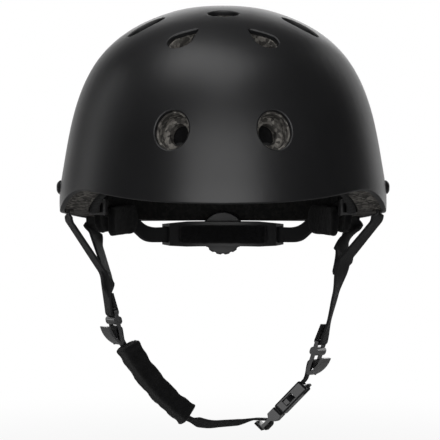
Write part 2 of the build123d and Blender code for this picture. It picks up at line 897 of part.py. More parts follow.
def build_dial():
    """Knurled dial with its shaft and the square that drives the pinion."""
    start = housing_depth / 2 + 2 * running_gap
    disc = Cylinder(dial_radius, dial_thickness, align=(Align.CENTER, Align.CENTER, Align.MIN))
    disc = fillet(disc.edges(), dial_face_recess)
    scallop = Cylinder(dial_lobe_radius, dial_thickness * 3)
    scallops = [
        Rot(0, 0, 360 * index / dial_lobes) * Pos(dial_radius + dial_lobe_radius / 2, 0, 0) * scallop
        for index in range(dial_lobes)
    ]
    dish = Pos(0, 0, dial_thickness) * Cylinder(dial_radius * dial_dish_share, 2 * dial_face_recess)
    knob = dial_frame(start) * (disc - scallops - dish)
    shaft_length = start - pinion_length / 2 - running_gap / 2
    shaft = dial_frame(pinion_length / 2 + running_gap / 2) * Cylinder(
        shaft_radius, shaft_length, align=(Align.CENTER, Align.CENTER, Align.MIN)
    )
    square_length = pinion_length + running_gap
    square = dial_frame(-pinion_length / 2) * Box(
        shaft_square, shaft_square, square_length, align=(Align.CENTER, Align.CENTER, Align.MIN)
    )
    screw_hole = dial_frame(-pinion_length / 2) * Cylinder(
        screw_radius + rivet_fit, 2 * pinion_length, align=(Align.CENTER, Align.CENTER, Align.MIN)
    )
    return knob + shaft + square - screw_hole


def build_pinion():
    """Small gear between the two racks."""
    root = pinion_pitch_radius - tooth_module * tooth_root_share
    tip = pinion_pitch_radius + tooth_module * tooth_tip_share
    base = math.pi * tooth_module * tooth_base_share * tooth_backlash_share / 2
    top = math.pi * tooth_module * tooth_top_share * tooth_backlash_share / 2
    inside = root * pinion_core_share
    tooth = make_face(Polyline((-base, inside), (base, inside), (top, tip), (-top, tip), close=True))
    outline = Circle(root)
    for index in range(pinion_teeth):
        outline += Rot(0, 0, 360 * (index + 0.5) / pinion_teeth) * tooth
    outline -= Rectangle(shaft_square + 2 * square_fit, shaft_square + 2 * square_fit)
    return dial_frame(-pinion_length / 2) * extrude(outline, amount=pinion_length)


def build_screw():
    """Screw that holds the pinion on the dial's shaft."""
    face = -pinion_length / 2 - seat_gap
    head = dial_frame(face - screw_head_height) * Cylinder(
        screw_head_radius, screw_head_height, align=(Align.CENTER, Align.CENTER, Align.MIN)
    )
    stem = dial_frame(face) * Cylinder(
        screw_radius, screw_length, align=(Align.CENTER, Align.CENTER, Align.MIN)
    )
    return head + stem


def build_arm_pad(side):
    """Soft pad on the inner face of a cradle arm."""
    outer = band_inner - pad_gap
    inner = outer - arm_pad_thickness
    high = arm_pad_low + arm_pad_height
    pad = ring_block(inner, outer, side * arm_pad_front_angle, side * arm_pad_rear_angle, arm_pad_low, high)
    corners = [edge for edge in pad.edges().filter_by(GeomType.LINE) if abs((edge % 0).Z) < surface_slack]
    pad = fillet(corners, arm_pad_corner)
    return fillet(pad.edges(), arm_pad_round)


def build_nape_pad():
    """Soft pad on the housing's cover."""
    outer = cradle_radius - housing_depth / 2 - pad_gap
    half = nape_pad_height / 2
    pad = ring_block(
        outer - nape_pad_thickness, outer, -nape_pad_angle, nape_pad_angle,
        band_rear_height - half, band_rear_height + half,
    )
    return fillet(pad.edges(), arm_pad_round)


# Webbing: flat bands lofted along straight runs joined by arcs

def squared(direction, tangent):
    """A direction made square to a tangent, at unit length."""
    return (direction - tangent * direction.dot(tangent)).normalized()


def arc_stations(before, corner, after, radius, across):
    """Stations round one corner of a route."""
    arrive = (corner - before).normalized()
    leave = (after - corner).normalized()
    inward = squared(leave, arrive)
    turn = math.radians(arrive.get_angle(leave))
    centre = corner - arrive * (radius * math.tan(turn / 2)) + inward * radius
    count = max(1, math.ceil(math.degrees(turn) / arc_step), math.ceil(turn * radius / facet_length))
    found = []
    for step in range(count + 1):
        angle = turn * step / count
        place = centre - inward * (radius * math.cos(angle)) + arrive * (radius * math.sin(angle))
        tangent = arrive * math.cos(angle) + inward * math.sin(angle)
        found.append((place, tangent, squared(across, tangent)))
    return found


def stations(route):
    """Places, tangents and across directions along a route of (corner, radius, across)."""
    places = [corner for corner, _, _ in route]
    first = (places[1] - places[0]).normalized()
    last = (places[-1] - places[-2]).normalized()
    found = [(places[0], first, squared(route[0][2], first))]
    for index in range(1, len(route) - 1):
        _, radius, across = route[index]
        found += arc_stations(places[index - 1], places[index], places[index + 1], radius, across)
    return found + [(places[-1], last, squared(route[-1][2], last))]


def webbing(places, width=strap_width, thickness=strap_thickness):
    """Flat band along stations."""
    wires = []
    for place, tangent, across in places:
        section = Plane(place, x_dir=across, z_dir=tangent) * Rectangle(width, thickness)
        wires.append(section.wire())
    return Solid.make_loft(wires, ruled=True)


def on_strap_plane(place):
    """A front-view place on the upright plane of the straps."""
    return Vector(place[0], strap_plane, place[1])


def adjuster_plane(side):
    """An adjuster's frame: X down the strap, Z outward."""
    place = left_adjuster_place if side > 0 else right_adjuster_place
    lean = math.radians(left_adjuster_lean if side > 0 else right_adjuster_lean)
    turn = math.radians(strap_turn)
    down = Vector(math.sin(lean), 0, -math.cos(lean))
    outward = Vector(side * math.cos(lean), 0, side * math.sin(lean))
    face = outward * math.cos(turn) + forward * math.sin(turn)
    return Plane(on_strap_plane(place), x_dir=down, z_dir=face)


adjusters = {side: adjuster_plane(side) for side in side_names}
bar_radius = adjuster_thickness / 2 - seat_gap
loop_radius = bar_radius + loop_clearance + strap_thickness / 2
top_bar_place = bar_radius - adjuster_top
body_place = top_bar_place + bar_radius + upper_slot + middle_bar_thickness / 2
bottom_bar_place = body_place + middle_bar_thickness / 2 + lower_slot + bar_radius
slot_half_width = strap_width / 2 + slot_side_clearance


def local(plane, along, out):
    """A place in a frame's upright section."""
    return plane.from_local_coords(Vector(along, 0, out))


def edge_forward(plane, side):
    """A frame's width direction, pointing to the face."""
    return plane.y_dir * -side


def upper_start(side, mount):
    """Where a hanging strap starts, under its tab."""
    return tab_foot(mount) - up * (release_gap if side < 0 else 0)


def front_strap_route(side):
    """From the front rivet down to the adjuster, round its top bar and back."""
    mount = front_mounts[side]
    frame = adjusters[side]
    start = upper_start(side, mount)
    merge = on_strap_plane(left_merge if side > 0 else right_merge)
    across = edge_forward(mount, side)
    bar = edge_forward(frame, side)
    turn_place = top_bar_place + loop_radius
    return [
        (start, 0, across),
        (start - up * strap_bend_drop, strap_bend_radius, across),
        (merge, merge_bend_radius, bar),
        (local(frame, turn_place, loop_radius), loop_radius * loop_share, bar),
        (local(frame, turn_place, -loop_radius), loop_radius * loop_share, bar),
        (local(frame, top_bar_place - loop_end, -bar_radius), 0, bar),
    ]


def rear_strap_route(side):
    """From the rear rivet down to the inner face of the front strap, where it is sewn on."""
    mount = rear_mounts[side]
    frame = adjusters[side]
    start = upper_start(side, mount)
    merge = on_strap_plane(left_merge if side > 0 else right_merge)
    across = edge_forward(mount, side)
    bar = edge_forward(frame, side)
    along = (local(frame, top_bar_place + loop_radius, loop_radius) - merge).normalized()
    sewn = merge - squared(frame.z_dir, along) * (strap_thickness + sewn_gap)
    return [
        (start, 0, across),
        (start - up * strap_bend_drop, strap_bend_radius, across),
        (sewn, merge_bend_radius, bar),
        (sewn + along * strap_lap, 0, bar),
    ]


def build_upper_strap(side, mount, route):
    """Strap from its rivet down; on the left it is one piece with its tab."""
    strap = webbing(stations(route))
    return strap + strap_tab(mount) if side > 0 else strap


def build_adjuster(side):
    """Tension lock: two loop bars, a rounded body between them and a flared lip."""
    length = adjuster_top + adjuster_bottom
    plate = Pos((adjuster_bottom - adjuster_top) / 2, 0) * RectangleRounded(
        length, 2 * adjuster_half_width, adjuster_corner
    )
    frame = extrude(plate, amount=adjuster_thickness / 2, both=True)
    frame = frame - Pos((adjuster_bottom - adjuster_top) / 2, 0, 0) * Box(
        length + cut_overrun, 2 * slot_half_width, adjuster_thickness * 2
    )
    bar = Rot(90, 0, 0) * Cylinder(bar_radius, 2 * adjuster_half_width - adjuster_corner)
    section = Plane((0, 0, 0), x_dir=(1, 0, 0), z_dir=(0, -1, 0))
    body_outline = RectangleRounded(middle_bar_thickness, middle_bar_thickness, adjuster_body_round)
    body = Pos(body_place, 0, 0) * extrude(section * body_outline, amount=adjuster_half_width, both=True)
    lip_line = ThreePointArc(
        (adjuster_bottom - lip_thickness / 2, 0),
        (adjuster_bottom - lip_shoulder, lip_rise - lip_shoulder_drop),
        (body_place + middle_bar_thickness / 2, lip_rise),
    )
    lip = extrude(section * trace(lip_line, lip_thickness), amount=adjuster_half_width, both=True)
    bars = [Pos(place, 0, 0) * bar for place in (top_bar_place, bottom_bar_place)]
    return adjusters[side] * (frame + bars + body + lip)


# The chin strap, its sleeve, and the buckle whose plug leaves on an arc about the right rivets

def release_axis():
    """Line through the right straps' upper ends, about which they swing when the buckle is open."""
    front = tab_foot(front_mounts[-1])
    rear = tab_foot(rear_mounts[-1])
    return front, (rear - front).normalized()


def buckle_plane():
    """The buckle's frame at the socket's mouth: X the way the plug leaves, Z outward."""
    mouth = on_strap_plane(buckle_mouth)
    pivot, axis = release_axis()
    radius = mouth - pivot
    return Plane(mouth, x_dir=axis.cross(radius), z_dir=squared(radius, axis))


buckle = buckle_plane()
plug_bar_place = plug_base + plug_slot
socket_bar_radius = socket_bar / 2
socket_bar_place = socket_bar_radius - socket_length
socket_loop_radius = socket_bar_radius + loop_clearance + strap_thickness / 2


def crossing(start, along, other_start, other_along):
    """Where two lines in the straps' upright plane meet, seen from the front."""
    gap = other_start - start
    spread = along.X * other_along.Z - along.Z * other_along.X
    distance = (gap.X * other_along.Z - gap.Z * other_along.X) / spread
    return start + along * distance


def leaning(tangent, angle):
    """Across direction of a band whose front edge leans inward by an angle."""
    level = squared(forward, tangent)
    return level * math.cos(math.radians(angle)) + level.cross(tangent) * math.sin(math.radians(angle))


def lower_loop(side):
    """Tail and loop round an adjuster's bottom bar, ending on its inner side."""
    frame = adjusters[side]
    bar = edge_forward(frame, side)
    turn_place = bottom_bar_place - loop_radius
    return [
        (local(frame, bottom_bar_place + lip_tail, loop_radius), 0, bar),
        (local(frame, turn_place, loop_radius), loop_radius * loop_share, bar),
        (local(frame, turn_place, -loop_radius), loop_radius * loop_share, bar),
    ]


def chin_strap_route():
    """From the right adjuster through the sleeve and under the chin to the plug."""
    top = on_strap_plane(sleeve_run_top)
    bottom = on_strap_plane(sleeve_run_bottom)
    chord = (bottom - top).normalized()
    outward = chord.cross(forward)
    middle = (top + bottom) * 0.5 + outward * sleeve_run_bow
    enter = (middle - top).normalized()
    leave = (bottom - middle).normalized()
    half_turn = math.radians(enter.get_angle(leave)) / 2
    radius = ((bottom - middle).length - chin_bend_lead) / math.tan(half_turn)
    lean = leaning(chord, strap_turn)
    plug_across = -buckle.y_dir
    climb = math.atan2(chin_entry_drop, -chin_entry_back)
    climb += math.asin(loop_radius / math.hypot(chin_entry_back, chin_entry_drop))
    turn_place = plug_bar_place + chin_entry_back + (chin_entry_drop + loop_radius) / math.tan(climb)
    return lower_loop(-1) + [
        (top - enter * sleeve_lead, sleeve_bend_radius, lean),
        (middle, radius, lean),
        (bottom, chin_bend_radius, leaning(leave, strap_turn)),
        (on_strap_plane(chin_bottom_right), chin_bend_radius, plug_across),
        (on_strap_plane(chin_bottom_left), chin_bend_radius, plug_across),
        (local(buckle, plug_bar_place + chin_entry_back, -chin_entry_drop), chin_entry_bend, plug_across),
        (local(buckle, turn_place, loop_radius), loop_radius, plug_across),
        (local(buckle, plug_length - plug_tail_gap, loop_radius), 0, plug_across),
    ]


def buckle_strap_route():
    """From the left adjuster to the socket's bar."""
    frame = adjusters[1]
    bar = edge_forward(frame, 1)
    across = -buckle.y_dir
    strap_line = local(frame, 0, -loop_radius)
    socket_line = local(buckle, 0, -socket_loop_radius)
    meet = crossing(strap_line, frame.x_dir, socket_line, buckle.x_dir)
    turn_place = socket_bar_place + socket_loop_radius
    return lower_loop(1) + [
        (meet, sleeve_bend_radius, across),
        (local(buckle, turn_place, -socket_loop_radius), socket_loop_radius * loop_share, across),
        (local(buckle, turn_place, socket_loop_radius), socket_loop_radius * loop_share, across),
        (local(buckle, -socket_length - socket_bar, socket_loop_radius), 0, across),
    ]


def route_length(found):
    """Length along stations."""
    return sum((b[0] - a[0]).length for a, b in zip(found, found[1:]))


def between(found, start, finish):
    """The stretch of stations between two distances."""
    kept = []
    travelled = 0.0
    for a, b in zip(found, found[1:]):
        length = (b[0] - a[0]).length
        for distance in (start, finish):
            if travelled <= distance < travelled + length:
                share = (distance - travelled) / length
                kept.append([p + (q - p) * share for p, q in zip(a, b)])
        travelled += length
        if start < travelled < finish:
            kept.append(b)
    return kept


def build_sleeve():
    """Padded sleeve round the chin strap: a bowed cushion with seams across it."""
    found = stations(chin_strap_route())
    lead = stations(lower_loop(-1) + chin_strap_route()[3:4])
    start = route_length(lead) + sleeve_lead + sleeve_start
    run = (on_strap_plane(sleeve_run_bottom) - on_strap_plane(sleeve_run_top)).length
    finish = start + run - sleeve_start - sleeve_end
    wires = []
    count = (sleeve_notches + 1) * len(sleeve_swell_shares)
    for index in range(count + 1):
        share = sleeve_swell_shares[index % len(sleeve_swell_shares)]
        if index in (0, count):
            share = sleeve_end_share
        distance = start + (finish - start) * index / count
        place, tangent, across = between(found, distance, route_length(found))[0]
        outline = RectangleRounded(sleeve_width * share, sleeve_thickness * share, sleeve_corner * share)
        wires.append((Plane(place, x_dir=across, z_dir=tangent) * outline).wire())
    bore = webbing(
        between(found, start - sleeve_start, finish + sleeve_end),
        strap_width + 2 * sleeve_bore_clearance,
        strap_thickness + 2 * sleeve_bore_clearance,
    )
    return Solid.make_loft(wires) - bore


def build_socket():
    """Female half: hollow body with side windows and a strap bar."""
    plan = RectangleRounded(socket_length, 2 * buckle_half_width, socket_corner)
    body = Pos(-socket_length / 2, 0) * extrude(plan, amount=buckle_thickness / 2, both=True)
    body = fillet(body.edges().group_by(Axis.Z)[0] + body.edges().group_by(Axis.Z)[-1], socket_edge_round)
    hollow = socket_length - socket_bar - socket_slot - socket_wall
    room_half = buckle_half_width - socket_wall
    room_height = buckle_thickness / 2 - socket_wall
    room = box_between((-hollow, -room_half, -room_height), (cut_overrun, room_half, room_height))
    window = box_between(
        (-window_start - window_length, -cut_overrun, -room_height),
        (-window_start, cut_overrun, room_height),
    )
    slot = box_between(
        (-socket_length - cut_overrun, -slot_half_width, -cut_overrun),
        (-hollow - socket_wall, slot_half_width, cut_overrun),
    )
    bar_length = 2 * slot_half_width + socket_wall
    bar = Pos(socket_bar_place, 0, 0) * Rot(90, 0, 0) * Cylinder(socket_bar_radius, bar_length)
    return buckle * (body - room - window - slot + bar)


arm_middle = arm_inner + arm_width / 2
arm_root_place = mouth_gap + arm_root_radius + arm_root_gap


def build_plug():
    """Male half without its release arms: base, tongue, strap bar and end flange."""
    section = Plane((0, 0, 0), x_dir=(1, 0, 0), z_dir=(0, -1, 0))
    hump_end = plug_base + plug_hump / 2
    rim = plug_length - plug_rim
    profile = make_face(
        Polyline(
            (mouth_gap, -plug_hump), (mouth_gap, plug_hump), (plug_base, plug_hump), (hump_end, bar_radius),
            (plug_length, bar_radius), (plug_length, -plug_flange_drop), (rim, -plug_flange_drop),
            (rim, -bar_radius), (hump_end, -bar_radius), (plug_base, -plug_hump), close=True,
        )
    )
    body = extrude(section * profile, amount=buckle_half_width, both=True)
    plan = Pos(plug_length / 2, 0) * RectangleRounded(plug_length, 2 * buckle_half_width, socket_corner)
    body = body & extrude(plan, amount=cut_overrun, both=True)
    slot = box_between(
        (plug_bar_place - plug_slot_lead, -slot_half_width, -cut_overrun),
        (rim, slot_half_width, cut_overrun),
    )
    bar = Pos(plug_bar_place, 0, 0) * Rot(90, 0, 0) * Cylinder(
        bar_radius - seat_gap, 2 * slot_half_width + socket_wall
    )
    tongue_plan = SlotOverall(plug_base + tongue_reach, 2 * tongue_half_width)
    tongue_middle = Pos((plug_base - tongue_reach) / 2, 0, 0)
    tongue = tongue_middle * extrude(tongue_plan, amount=tongue_half_thickness, both=True)
    pockets = []
    for side in side_names:
        pocket = Pos(arm_root_place, side * arm_middle) * Circle(arm_root_radius + arm_root_gap)
        mouth = Pos(0, side * arm_middle) * Rectangle(2 * arm_root_place, arm_width + 2 * arm_mouth_gap)
        pockets.append(extrude(pocket + mouth, amount=arm_half_thickness + arm_root_gap, both=True))
    return buckle * (body - slot - pockets + bar + tongue)


def build_release_arm(side):
    """Springy side arm with its barb; side is +1 toward the nape."""
    tip = -arm_reach
    outer = arm_inner + arm_width
    outline = make_face(
        Polyline(
            (arm_root_place, arm_inner), (tip, arm_inner), (tip, outer - arm_tip_step), (-barb_end, outer),
            (-(barb_start + barb_end) / 2, outer + arm_barb), (-barb_start, outer + arm_barb),
            (-barb_start, outer), (arm_root_place, outer), close=True,
        )
    )
    outline += Pos(arm_root_place, arm_middle) * Circle(arm_root_radius)
    arm = extrude(outline, amount=arm_half_thickness, both=True)
    return buckle * (arm if side > 0 else mirror(arm, Plane.XZ))


# Nodes

save("outer_shell", build_shell())
save("eps_liner", build_liner())
save("strap_rivets", group([rivet(mount) for mount in mounts]))
save("rivet_washers", group([washer(mount) for mount in mounts]))
save("hook_dots", build_dots())
for pad_name, pad in build_pads().items():
    save(pad_name, pad)

for side, name in side_names.items():
    for place, mount, route in (
        ("front", front_mounts[side], front_strap_route(side)),
        ("rear", rear_mounts[side], rear_strap_route(side)),
    ):
        save(place + "_strap_" + name, build_upper_strap(side, mount, route))
        if side < 0:
            save(place + "_strap_tab_" + name, strap_tab(mount, released_tab_lift))
    save("strap_adjuster_" + name, build_adjuster(side))
    save("band_arm_" + name, build_arm(side))
    save("arm_pad_" + name, build_arm_pad(side))
    save("band_anchor_" + name, build_anchor(side))

save("anchor_pins", build_pins())
save("dial_housing", build_housing())
save("housing_cover", build_cover())
save("dial_knob", build_dial())
save("dial_pinion", build_pinion())
save("dial_screw", build_screw())
save("nape_pad", build_nape_pad())

save("chin_strap", webbing(stations(chin_strap_route())))
save("buckle_strap", webbing(stations(buckle_strap_route())))
save("chin_pad", build_sleeve())
save("buckle_socket", build_socket())
save("buckle_plug", build_plug())
save("release_arm_front", build_release_arm(-1))
save("release_arm_rear", build_release_arm(1))
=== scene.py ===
import math
import bmesh
import bpy
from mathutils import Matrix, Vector, noise


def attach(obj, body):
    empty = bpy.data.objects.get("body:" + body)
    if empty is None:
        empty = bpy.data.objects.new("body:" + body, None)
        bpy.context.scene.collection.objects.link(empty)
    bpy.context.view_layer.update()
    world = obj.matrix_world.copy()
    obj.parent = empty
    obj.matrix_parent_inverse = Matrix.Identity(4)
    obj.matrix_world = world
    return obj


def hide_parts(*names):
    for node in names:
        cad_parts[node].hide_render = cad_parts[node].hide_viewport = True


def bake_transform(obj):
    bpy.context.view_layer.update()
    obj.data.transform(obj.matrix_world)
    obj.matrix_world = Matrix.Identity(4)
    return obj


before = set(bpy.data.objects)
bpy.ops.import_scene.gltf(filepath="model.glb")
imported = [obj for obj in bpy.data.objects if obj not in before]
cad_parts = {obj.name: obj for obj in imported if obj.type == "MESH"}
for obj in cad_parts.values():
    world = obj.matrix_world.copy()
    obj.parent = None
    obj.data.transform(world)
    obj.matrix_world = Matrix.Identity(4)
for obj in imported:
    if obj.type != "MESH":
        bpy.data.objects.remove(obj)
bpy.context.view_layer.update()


# Camera: level with the brow, three degrees up, 1.5 m away

photo_width = 440
focal_pixels = 2272.7
sensor_width = 36
near_clip = 0.05
camera_place = (-0.002, -1.498, 0.0626)
camera_target = (-0.002, 0, -0.0159)


def turn_towards(thing, place, target):
    """Put a camera or lamp at a place and aim it at a target."""
    thing.location = place
    thing.rotation_euler = (Vector(target) - Vector(place)).to_track_quat("-Z", "Y").to_euler()
    bpy.context.scene.collection.objects.link(thing)


def add_camera():
    """Camera at the photograph's viewing angle."""
    data = bpy.data.cameras.new("camera")
    data.sensor_fit = "HORIZONTAL"
    data.sensor_width = sensor_width
    data.lens = sensor_width * focal_pixels / photo_width
    data.clip_start = near_clip
    camera = bpy.data.objects.new("camera", data)
    turn_towards(camera, camera_place, camera_target)
    bpy.context.scene.camera = camera


add_camera()


# Studio light

power_per_radiance = 4
softboxes = {
    # name: place, aim, size, radiance
    "front_softbox": ((-0.05, -1.7, 0.32), (0, 0, 0.03), (2.0, 1.15), 2.1),
    "overhead_softbox": ((-0.25, -0.35, 1.5), (0, 0, 0.05), (1.6, 1.0), 1.7),
    "left_strip": ((-1.35, 0.75, 0.3), (0, 0, 0.02), (0.3, 1.3), 0.9),
    "right_strip": ((0.95, 1.35, 0.35), (0, 0, 0.02), (0.25, 1.3), 0.8),
    "rear_softbox": ((0.1, 1.9, 0.55), (0, 0, 0.03), (1.0, 0.8), 1.2),
}
room_rise = (-0.2, 1.0)
room_strength = (0.012, 0.12)
paper_strength = 1.0
paper_behind = (0.8, 0.97)


def area_light(name, place, aim, size, radiance):
    """Rectangular softbox of a given brightness, aimed at a point and not seen itself."""
    data = bpy.data.lights.new(name, "AREA")
    data.shape = "RECTANGLE"
    data.size, data.size_y = size
    data.energy = power_per_radiance * size[0] * size[1] * radiance
    lamp = bpy.data.objects.new(name, data)
    lamp.visible_camera = False
    turn_towards(lamp, place, aim)


def joined(tree, operation, first, second):
    """The result of a math node on two values."""
    made = tree.nodes.new("ShaderNodeMath")
    made.operation = operation
    tree.links.new(first, made.inputs[0])
    tree.links.new(second, made.inputs[1])
    return made.outputs[0]


def paper_share(tree, behind):
    """Where a ray sees white paper: always for the eye and through glass, behind the object for gloss."""
    path = tree.nodes.new("ShaderNodeLightPath")
    gloss = joined(tree, "MULTIPLY", path.outputs["Is Glossy Ray"], behind)
    seen = joined(tree, "MAXIMUM", path.outputs["Is Camera Ray"], path.outputs["Is Transmission Ray"])
    return joined(tree, "MAXIMUM", seen, gloss)


def eased(tree, source, limits, results=(0.0, 1.0)):
    """A smooth step of a value between two limits."""
    step = tree.nodes.new("ShaderNodeMapRange")
    step.interpolation_type = "SMOOTHSTEP"
    step.inputs["From Min"].default_value, step.inputs["From Max"].default_value = limits
    step.inputs["To Min"].default_value, step.inputs["To Max"].default_value = results
    tree.links.new(source, step.inputs["Value"])
    return step.outputs[0]


def add_world():
    """White paper for the eye, and a dim room lighter overhead for everything else."""
    world = bpy.data.worlds.new("studio")
    bpy.context.scene.world = world
    world.use_nodes = True
    tree = world.node_tree
    tree.nodes.clear()
    out = tree.nodes.new("ShaderNodeOutputWorld")
    paper = tree.nodes.new("ShaderNodeBackground")
    paper.inputs["Color"].default_value = (1, 1, 1, 1)
    paper.inputs["Strength"].default_value = paper_strength
    room = tree.nodes.new("ShaderNodeBackground")
    coordinates = tree.nodes.new("ShaderNodeTexCoord")
    split = tree.nodes.new("ShaderNodeSeparateXYZ")
    tree.links.new(coordinates.outputs["Generated"], split.inputs[0])
    tree.links.new(eased(tree, split.outputs["Z"], room_rise, room_strength), room.inputs["Strength"])
    mix = tree.nodes.new("ShaderNodeMixShader")
    tree.links.new(paper_share(tree, eased(tree, split.outputs["Y"], paper_behind)), mix.inputs["Fac"])
    tree.links.new(room.outputs[0], mix.inputs[1])
    tree.links.new(paper.outputs[0], mix.inputs[2])
    tree.links.new(mix.outputs[0], out.inputs["Surface"])


add_world()
for lamp_name, (lamp_place, lamp_aim, lamp_size, lamp_radiance) in softboxes.items():
    area_light(lamp_name, lamp_place, lamp_aim, lamp_size, lamp_radiance)
bpy.context.scene.view_settings.view_transform = "Standard"


# Materials

class Shader:
    """Node-building helper round one Principled shader."""

    def __init__(self, name, colour, roughness, **settings):
        self.material = bpy.data.materials.new(name)
        self.material.use_nodes = True
        self.tree = self.material.node_tree
        self.base = self.tree.nodes["Principled BSDF"]
        self.base.inputs["Base Color"].default_value = (*colour, 1)
        self.base.inputs["Roughness"].default_value = roughness
        self.material.diffuse_color = (*colour, 1)
        for key, value in settings.items():
            self.base.inputs[key.replace("_", " ")].default_value = value
        self.coordinates = self.tree.nodes.new("ShaderNodeTexCoord").outputs["Object"]

    def node(self, kind, links, **settings):
        made = self.tree.nodes.new(kind)
        for key, value in settings.items():
            if hasattr(made, key):
                setattr(made, key, value)
            else:
                made.inputs[key].default_value = value
        for key, source in links.items():
            self.tree.links.new(source, made.inputs[key])
        return made

    def noise(self, scale, detail):
        made = self.node("ShaderNodeTexNoise", {"Vector": self.coordinates}, Scale=scale, Detail=detail)
        return made.outputs["Fac"]

    def cells(self, scale, feature="F1"):
        return self.node("ShaderNodeTexVoronoi", {"Vector": self.coordinates}, Scale=scale, feature=feature)

    def math(self, operation, first, second=0.0):
        made = self.tree.nodes.new("ShaderNodeMath")
        made.operation = operation
        for index, value in enumerate((first, second)):
            if isinstance(value, (int, float)):
                made.inputs[index].default_value = value
            else:
                self.tree.links.new(value, made.inputs[index])
        return made.outputs[0]

    def blended(self, first, second, second_share):
        kept = self.math("MULTIPLY", first, 1 - second_share)
        added = self.math("MULTIPLY", second, second_share)
        return self.math("ADD", kept, added)

    def ramp(self, source, low, high, stops):
        made = self.tree.nodes.new("ShaderNodeValToRGB")
        for element, stop, colour in zip(made.color_ramp.elements, stops, (low, high)):
            element.position = stop
            element.color = (*colour, 1)
        self.tree.links.new(source, made.inputs["Fac"])
        return made.outputs["Color"]

    def range(self, source, low, high):
        made = self.tree.nodes.new("ShaderNodeMapRange")
        made.inputs["To Min"].default_value = low
        made.inputs["To Max"].default_value = high
        self.tree.links.new(source, made.inputs["Value"])
        return made.outputs[0]

    def bump(self, height, distance, strength, after=None):
        made = self.tree.nodes.new("ShaderNodeBump")
        made.inputs["Distance"].default_value = distance
        made.inputs["Strength"].default_value = strength
        self.tree.links.new(height, made.inputs["Height"])
        if after:
            self.tree.links.new(after, made.inputs["Normal"])
        return made.outputs[0]

    def finish(self, colour=None, roughness=None, normal=None):
        for key, source in (("Base Color", colour), ("Roughness", roughness), ("Normal", normal)):
            if source:
                self.tree.links.new(source, self.base.inputs[key])
        return self.material


def shell_finish():
    """Matte black coating with a very fine grain and faint cloudy sheen."""
    s = Shader("shell_coating", colour=(0.011, 0.011, 0.012), roughness=0.42, Specular_IOR_Level=0.5)
    grain = s.noise(scale=2600, detail=3)
    cloud = s.noise(scale=18, detail=4)
    speck = s.cells(scale=900)
    tone = s.ramp(cloud, low=(0.007, 0.007, 0.0077), high=(0.0105, 0.0105, 0.0115), stops=(0.35, 0.7))
    rough = s.range(s.blended(cloud, grain, second_share=0.4), low=0.34, high=0.43)
    fine = s.bump(grain, distance=0.00006, strength=0.5)
    return s.finish(tone, rough, s.bump(speck.outputs["Distance"], distance=0.00002, strength=0.3, after=fine))


def foam_finish():
    """Expanded bead foam: packed cells of different greys, dark inside as painted shade and lighter at temples
    and vents as painted light, with painted shade between the beads.
    """
    bead_scale = 480
    temple_limits = (0.077, 0.084)
    dome_limits = (0.018, 0.03)
    # share of the painted shade in the crevices between the beads
    painted_bead_shade_share = 0.6
    s = Shader("bead_foam", colour=(0.09, 0.086, 0.08), roughness=0.85)
    beads = s.cells(bead_scale)
    edges = s.cells(bead_scale, "DISTANCE_TO_EDGE").outputs["Distance"]
    small = s.noise(scale=1500, detail=3)
    grey = s.node("ShaderNodeSeparateColor", {"Color": beads.outputs["Color"]}).outputs[0]
    # painted shade for the foam inside the liner, and painted light (lit) for the foam at the temples and on
    # the dome
    painted_shade_colour = s.ramp(grey, low=(0.004, 0.004, 0.004), high=(0.022, 0.021, 0.019), stops=(0.2, 1.0))
    lit = s.ramp(grey, low=(0.055, 0.051, 0.046), high=(0.34, 0.32, 0.29), stops=(0.25, 1.0))
    split = s.node("ShaderNodeSeparateXYZ", {0: s.coordinates})
    # the temple and dome masks choose where the foam gets painted light instead of painted shade
    temple = eased(s.tree, s.math("ABSOLUTE", split.outputs[0]), temple_limits)
    dome = eased(s.tree, split.outputs[2], dome_limits)
    painted_light_share = s.math("MAXIMUM", temple, dome)
    tone = s.node("ShaderNodeMixRGB", {"Fac": painted_light_share, "Color1": painted_shade_colour, "Color2": lit}).outputs[0]
    # painted shade: the foam darkened along the bead edges, where the bump sinks
    painted_bead_shade = s.range(edges, low=0.35, high=1.0)
    sources = {"Color1": tone, "Color2": painted_bead_shade}
    shade = s.node("ShaderNodeMixRGB", sources, blend_type="MULTIPLY", Fac=painted_bead_shade_share)
    bump = s.bump(edges, distance=0.00025, strength=0.6)
    return s.finish(shade.outputs[0], None, s.bump(small, distance=0.0001, strength=0.5, after=bump))


def plastic_finish(name, colour, roughness, grain=0.00002):
    """Moulded plastic with a fine orange peel and slight change of gloss."""
    s = Shader(name, colour, roughness, Specular_IOR_Level=0.5)
    peel = s.noise(scale=900, detail=3)
    cloud = s.noise(scale=60, detail=3)
    rough = s.range(cloud, low=roughness * 0.85, high=roughness * 1.2)
    return s.finish(None, rough, s.bump(peel, distance=grain, strength=0.6))


